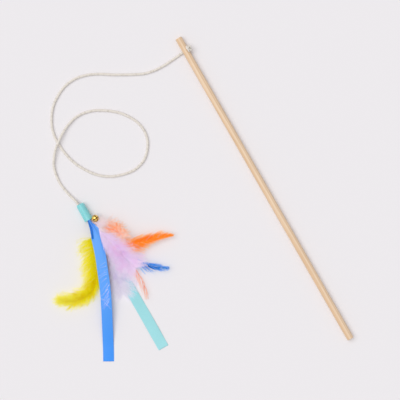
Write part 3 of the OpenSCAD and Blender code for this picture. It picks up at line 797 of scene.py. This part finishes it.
def read_marks(nodes, links):
    """The marks of a strand, one to a channel."""
    strand = nodes.new("ShaderNodeAttribute")
    strand.attribute_name = "strand"
    apart = nodes.new("ShaderNodeSeparateColor")
    links.new(strand.outputs["Color"], apart.inputs["Color"])
    return apart.outputs["Red"], apart.outputs["Green"], apart.outputs["Blue"]


def mix_shaders(nodes, links, share, first, second):
    """Mixes two shaders by a share, which is a number or a node's output."""
    mix = nodes.new("ShaderNodeMixShader")
    for socket, value in zip(mix.inputs, (share, first, second)):
        feed(links, socket, value)
    return mix.outputs["Shader"]


def light_through(nodes, links, shader, colour, share, clear):
    """Lets a share of the light into the far side, and lets a clear share past in a strand's shadow."""
    links.new(colour, shader.inputs["Base Color"])
    glow = nodes.new("ShaderNodeBsdfTranslucent")
    links.new(colour, glow.inputs["Color"])
    both = mix_shaders(nodes, links, share, shader.outputs["BSDF"], glow.outputs["BSDF"])
    ray = nodes.new("ShaderNodeLightPath")
    shade = work_out(nodes, links, "MULTIPLY", ray.outputs["Is Shadow Ray"], clear)
    gap = nodes.new("ShaderNodeBsdfTransparent")
    surface = mix_shaders(nodes, links, shade, both, gap.outputs["BSDF"])
    links.new(surface, nodes["Material Output"].inputs["Surface"])


def down_finish(name, core, tip, at_quill, at_root, patch, patch_scale=160):
    """Dyed down: strong at the quill, pale at the tips, lit through, with soft patches of another tone."""
    made, nodes, links, shader = finish(name, core, 0.8, {"Specular IOR Level": 0.1, "Sheen Weight": 0.05})
    luck, on_barb, on_quill = read_marks(nodes, links)
    body = ramp(nodes, links, on_barb, ((0.0, at_quill), (0.04, core), (0.4, core), (1.0, tip)))
    patches = noise(nodes, links, on_piece(nodes), patch_scale, 3)
    odd = ramp(nodes, links, patches, ((0.46, grey(0)), (0.62, grey(1))))
    body = blend_colours(nodes, links, "MIX", odd, body, patch)
    near_tip = ramp(nodes, links, on_quill, ((0.72, grey(0)), (1.0, grey(0.8))))
    body = blend_colours(nodes, links, "MIX", near_tip, body, tip)
    near_root = ramp(nodes, links, on_quill, ((0.4, grey(1)), (0.56, grey(0))))
    colour = blend_colours(nodes, links, "MIX", near_root, body, at_root)
    uneven = ramp(nodes, links, luck, ((0.0, grey(0.92)), (0.4, grey(1))))
    colour = blend_colours(nodes, links, "MULTIPLY", 1.0, colour, uneven)
    light_through(nodes, links, shader, colour, share=0.4, clear=0.9)
    return made


def root_feather(piece, node):
    """Sets a finished feather in place of its CAD leaf, on the leaf's own body."""
    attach(piece, node + "_leaf")
    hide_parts(node)


yellow_down = down_finish("yellow_down", core=paint(245, 238, 0), tip=paint(250, 247, 130),
                          at_quill=paint(226, 200, 0), at_root=paint(246, 239, 30), patch=paint(243, 228, 0))
line, share = quill(yellow_shares, length=87, heights=(3.5, 5, 3.5))
piece = marabou(
    "yellow_feather", line, share, hairs=84000,
    at=np.linspace(0.19, 0.985, 900) + chance.normal(0, 0.001, 900),
    barb_l=barb_plan(22, (0.19, 0.3, 0.4, 0.6, 0.85, 1),
                     left=(0.5, 0.7, 0.8, 0.5, 0.7, 0.45), right=(0.85, 0.86, 0.95, 1, 0.85, 0.45)),
    lean=((0.19, 0.3, 0.5, 0.8, 0.98), (110, 86, 62, 48, 20)),
    hair_l=2.8, floor=0.4, top=10, material=yellow_down)
root_feather(piece, "yellow_marabou")

# Pink marabou: the largest and fluffiest feather, full from the bell down, with two pale quills showing.
# It lies uppermost, and some of its barbs stray over the blue ribbon.
stray_w = 0.27
pink_shares = [
    (0, 0.015), (0.03, -0.075), (0.055, -0.14), (0.07, -0.24), (0.092, -0.35), (0.122, -0.48),
    (0.156, -0.6), (0.2, -0.745),
]
bare_quills = [
    ([(-51.2, 43, 13), (-49.4, 35, 15.8), (-46.8, 24, 16.8), (-44.2, 13, 16.4), (-42.8, 5, 15)], 0.34),
    ([(-49.4, 40, 13.6), (-46.8, 31, 16.2), (-43.4, 20, 17), (-40, 9, 16), (-37.4, 1, 14.5)], 0.2),
]
stray_rows = (
    ((-62, 17), (-69.5, 1), 172, 13, 6),
    ((-71, -4), (-81.5, -25), 203, 15, 15),
    ((-91, -13), (-87, -23), 280, 10, 4),
)


def strays(rows):
    """Barbs on top of the blue ribbon. A row has its two ends, a heading in degrees, a length and a count."""
    made = []
    for first, last, heading, long, count in rows:
        for part in np.linspace(0, 1, count):
            spot = (1 - part) * np.array(first) + part * np.array(last) + chance.normal(0, 0.6, 2)
            turn = np.radians(heading + chance.normal(0, 6) + np.linspace(0, chance.normal(6, 10), 6))
            step = long * chance.uniform(0.7, 1.1) / 6
            points = np.stack([spot[0] + np.cumsum(np.cos(turn)) * step,
                               spot[1] + np.cumsum(np.sin(turn)) * step, np.zeros(6)], axis=1)
            _, middle, aside = by_ribbon(points)
            points[:, 2] = middle[:, 2] + 0.75 - 0.5 * np.maximum(aside - 6.2, 0)
            made.append((points, stray_w))
    return made


pink_down = down_finish("pink_down", core=paint(243, 230, 248), tip=paint(250, 241, 251),
                        at_quill=paint(252, 246, 252), at_root=paint(245, 234, 248),
                        patch=paint(246, 226, 246))
line, share = quill(pink_shares, length=102, heights=(7, 9.5, 8.5))
piece = marabou(
    "pink_feather", line, share, at=chance.uniform(0.04, 0.99, 900) ** 0.85, hairs=84000,
    barb_l=barb_plan(25, (0.06, 0.3, 0.75, 1), left=(0.5, 0.8, 1, 0.6), right=(0.15, 0.7, 1, 0.64)),
    lean=((0.06, 0.5, 1), (60, 62, 66)), hair_l=3.2, floor=0.5, top=13, material=pink_down,
    loose=bare_quills + strays(stray_rows))
root_feather(piece, "pink_marabou")

# Lilac marabou: a paler, looser feather under the pink one, which hides the upper half of the aqua ribbon.
# Its barbs start a little way from the root and spread widest in its lower half.
lilac_shares = [
    (0, 0.014), (0.002, -0.07), (0.004, -0.16), (0.004, -0.28), (-0.006, -0.42), (-0.024, -0.56),
    (-0.044, -0.7), (-0.064, -0.82), (-0.085, -0.9),
]
lilac_down = down_finish("lilac_down", core=paint(240, 237, 245), tip=paint(244, 242, 247),
                         at_quill=paint(244, 241, 248), at_root=paint(240, 232, 245),
                         patch=paint(235, 229, 244))
line, share = quill(lilac_shares, length=107, heights=(4, 4.2, 3))
piece = marabou(
    "lilac_feather", line, share, at=chance.uniform(0.28, 0.98, 900), hairs=84000,
    barb_l=barb_plan(25, (0.2, 0.4, 0.75, 1), left=(0.7, 1.1, 1.15, 0.5), right=(0.6, 0.85, 0.95, 0.5)),
    lean=((0.2, 0.5, 0.9), (46, 56, 50)), hair_l=3, floor=0.5, top=8, material=lilac_down)
root_feather(piece, "lilac_marabou")

# Pale orange marabou: a short one beside the bell, nearly white at its root and speckled orange beyond.
# Its barbs are longer on the left, where they stand out past the pink feather.
orange_fluff_shares = [
    (0, 0.028), (0.045, -0.13), (0.13, -0.26), (0.25, -0.36), (0.36, -0.46), (0.44, -0.58), (0.48, -0.7),
]
orange_down = down_finish("orange_down", core=paint(254, 226, 208), tip=paint(252, 238, 232),
                          at_quill=paint(255, 190, 140), at_root=paint(247, 238, 238),
                          patch=paint(255, 190, 130), patch_scale=330)
line, share = quill(orange_fluff_shares, length=54, heights=(5, 10, 10))
piece = marabou(
    "orange_fluff_feather", line, share, at=0.05 + 0.93 * chance.uniform(0, 1, 700) ** 1.3, hairs=60000,
    barb_l=barb_plan(17, (0.05, 0.2, 0.5, 1), left=(0.7, 0.9, 1, 0.6), right=(0.1, 0.22, 0.45, 0.5)),
    lean=((0.05, 0.3, 0.6, 1), (90, 74, 60, 50)), hair_l=2.6, floor=0.5, top=13, material=orange_down)
root_feather(piece, "orange_marabou")

# Hackles: narrow feathers with a real vane of close, springy barbs that part here and there.
# The barbs of one lock share a lean, so the vane splits between locks and its edge is ragged.
hackle_floor = 0.4
hackle_top = 11
tuft = 30
tuft_l = 2.2
tuft_w = (0.1, 0.03)
orange_shares = [
    (0, 0.014), (0.03, -0.09), (0.075, -0.22), (0.135, -0.34), (0.225, -0.435), (0.33, -0.49),
    (0.45, -0.525), (0.57, -0.562), (0.68, -0.6), (0.735, -0.625),
]
blue_shares = [
    (0, 0.014), (0.02, -0.09), (0.058, -0.243), (0.115, -0.405), (0.185, -0.563), (0.256, -0.683),
    (0.337, -0.764), (0.408, -0.824), (0.481, -0.869),
]
salmon_shares = [
    (0, 0.013), (0.012, -0.085), (0.045, -0.24), (0.095, -0.42), (0.14, -0.58), (0.162, -0.71),
    (0.163, -0.82), (0.15, -0.92), (0.136, -0.98),
]


def hackle(name, line, share, count, barb_l, lean, locks, gap, width, fluff, material):
    """Barbs in locks on both sides of the quill, nearly in one plane, with down up to the share fluff.
    Barb_l(at, left) is a barb's length, and lean holds its angle on the right and on the left."""
    along = directions(line)
    flat = beside(along)
    rows = 10
    w = np.linspace(0, 1, rows)[None]
    parts = []
    for left, side in ((False, -1.0), (True, 1.0)):
        at = np.sort(chance.uniform(0.1, 1, count))
        lock = (at * locks + chance.uniform(0, 1)).astype(int)
        common = chance.normal(0, 1, lock.max() + 1)[lock]
        here = np.clip(np.searchsorted(share, at), 0, len(line) - 1)
        long = barb_l(at, left) * (1 + 0.08 * common) * chance.uniform(0.8, 1.05, count)
        angle = np.radians(lean[left] + gap * common + chance.normal(0, 2.5, count))[:, None] * (1 - 0.5 * w)
        rise = np.radians(5 * chance.normal(0, 1, count) + 3 * common)[:, None] * (1 - 0.9 * w)
        heading, centres = grown(line, along, flat, here, side, angle, rise, long)
        lie(centres, hackle_floor, hackle_top)
        luck = np.clip(0.5 + 0.22 * common + chance.normal(0, 0.2, count), 0, 1)
        mark = marks(luck[:, None], w, at[:, None], rows)
        parts.append(strips(centres, width * (1.0 - 0.8 * w ** 1.5), facing(heading, 0.3), mark))

        owner = np.repeat(np.flatnonzero(at < fluff), tuft)
        low = chance.integers(1, rows, len(owner))
        base = centres[owner, low]
        tip = base + tuft_l * unit(0.5 * heading[owner, low] + unit(chance.normal(0, 1, (len(owner), 3))))
        hairs = np.stack([base, tip], axis=1)
        lie(hairs, hackle_floor, hackle_top + 1)
        face = unit(np.cross(unit(tip - base), chance.normal(0, 1, (len(owner), 3))))
        mark = marks(luck[owner][:, None], 1, at[owner][:, None], 2)
        parts.append(strips(hairs, tuft_w, face[:, None], mark))
    parts += quill_strips(line, share, along, flat)
    return feather_mesh(name, parts, material)


def vane_finish(name, dark, middle, light, tip, at_quill):
    """Dyed vane: each barb has its own depth of colour, from dark lines to bright ones, and a paler tip."""
    made, nodes, links, shader = finish(name, middle, 0.5, {"Specular IOR Level": 0.25})
    luck, on_barb, _ = read_marks(nodes, links)
    own = ramp(nodes, links, luck, ((0.0, dark), (0.3, middle), (0.7, middle), (1.0, light)))
    outer = ramp(nodes, links, on_barb, ((0.5, grey(0)), (1.0, grey(1))))
    inner = ramp(nodes, links, on_barb, ((0.0, grey(1)), (0.05, grey(0))))
    colour = blend_colours(nodes, links, "MIX", outer, own, tip)
    colour = blend_colours(nodes, links, "MIX", inner, colour, at_quill)
    light_through(nodes, links, shader, colour, share=0.3, clear=0.6)
    return made


orange_vane = vane_finish("orange_vane", dark=paint(255, 138, 16), middle=paint(255, 158, 36),
                          light=paint(255, 186, 88), tip=paint(255, 222, 184), at_quill=paint(255, 160, 70))
line, share = quill(orange_shares, length=104, heights=(7, 7.6, 7))
piece = hackle(
    "orange_hackle_feather", line, share, count=620,
    barb_l=barb_plan(18, (0.1, 0.3, 0.5, 0.72, 0.86, 1),
                     left=(0.5, 0.9, 1.05, 1, 0.6, 0.15), right=(0.5, 1.1, 1.25, 0.62, 0.3, 0.12)),
    lean=(35, 40), locks=14, gap=2.2, width=0.4, fluff=0.5, material=orange_vane)
root_feather(piece, "orange_hackle")

blue_vane = vane_finish("blue_vane", dark=paint(8, 62, 150), middle=paint(52, 150, 236),
                        light=paint(146, 206, 242), tip=paint(70, 168, 250), at_quill=paint(8, 66, 160))
line, share = quill(blue_shares, length=110, heights=(6.4, 6.8, 6))
piece = hackle(
    "blue_hackle_feather", line, share, count=250,
    barb_l=barb_plan(21, (0.1, 0.5, 0.7, 0.85, 1),
                     left=(0.2, 0.7, 0.9, 0.6, 0.14), right=(0.3, 0.7, 0.92, 0.6, 0.14)),
    lean=(22, 24), locks=34, gap=3, width=0.32, fluff=0.0, material=blue_vane)
root_feather(piece, "blue_hackle")

salmon_vane = vane_finish("salmon_vane", dark=paint(246, 146, 106), middle=paint(252, 188, 162),
                          light=paint(246, 216, 202), tip=paint(250, 194, 168), at_quill=paint(246, 152, 112))
line, share = quill(salmon_shares, length=116, heights=(5.8, 6, 5))
piece = hackle(
    "salmon_hackle_feather", line, share, count=64,
    barb_l=barb_plan(30, (0.1, 0.5, 0.8, 1), left=(0.09, 0.27, 0.24, 0.03), right=(0.3, 0.9, 0.8, 0.1)),
    lean=(24, 12), locks=22, gap=1.5, width=0.42, fluff=0.0, material=salmon_vane)
root_feather(piece, "salmon_hackle")

# Setting: the toy lies on a plain pale surface under soft daylight from the upper left of the picture.
# The camera looks straight down through a long lens, turned so that the dowel slants across the picture.
bm = bmesh.new()
bmesh.ops.create_grid(bm, x_segments=1, y_segments=1, size=3)
floor = hang("floor", bm)
paper, nodes, links, shader = finish("pale_paper", paint(240, 237, 240), 0.9, {"Specular IOR Level": 0.0})
floor.data.materials.append(paper)

world = bpy.data.worlds.new("daylight")
bpy.context.scene.world = world
world.use_nodes = True
nodes, links = world.node_tree.nodes, world.node_tree.links
sky = nodes["Background"]
sky.inputs["Color"].default_value = (1, 1, 1, 1)
sky.inputs["Strength"].default_value = 0.52
backdrop = nodes.new("ShaderNodeBackground")
backdrop.inputs["Color"].default_value = paint(238, 235, 238)
ray = nodes.new("ShaderNodeLightPath").outputs
seen = work_out(nodes, links, "MAXIMUM", ray["Is Camera Ray"], ray["Is Transmission Ray"])
either = work_out(nodes, links, "MAXIMUM", seen, ray["Is Glossy Ray"])
links.new(mix_shaders(nodes, links, either, sky.outputs["Background"], backdrop.outputs["Background"]),
          nodes["World Output"].inputs["Surface"])

sun = bpy.data.lights.new("window_light", "SUN")
sun.energy = 1.56
sun.angle = math.radians(60)
lamp = bpy.data.objects.new("window_light", sun)
bpy.context.scene.collection.objects.link(lamp)
to_window = Vector((-0.27, 0.29, 0.92))
lamp.rotation_euler = to_window.to_track_quat("Z", "Y").to_euler()

picture_w = 0.4698
picture_middle = (67.7 * MM, 25.8 * MM)
picture_right = (0.868, -0.497)
lens = bpy.data.cameras.new("camera")
lens.lens = 150
lens.clip_end = 10
camera = bpy.data.objects.new("camera", lens)
bpy.context.scene.collection.objects.link(camera)
camera.matrix_world = Matrix((
    (picture_right[0], -picture_right[1], 0, picture_middle[0]),
    (picture_right[1], picture_right[0], 0, picture_middle[1]),
    (0, 0, 1, picture_w * lens.lens / lens.sensor_width),
    (0, 0, 0, 1)))
bpy.context.scene.camera = camera
bpy.context.scene.view_settings.view_transform = "Standard"
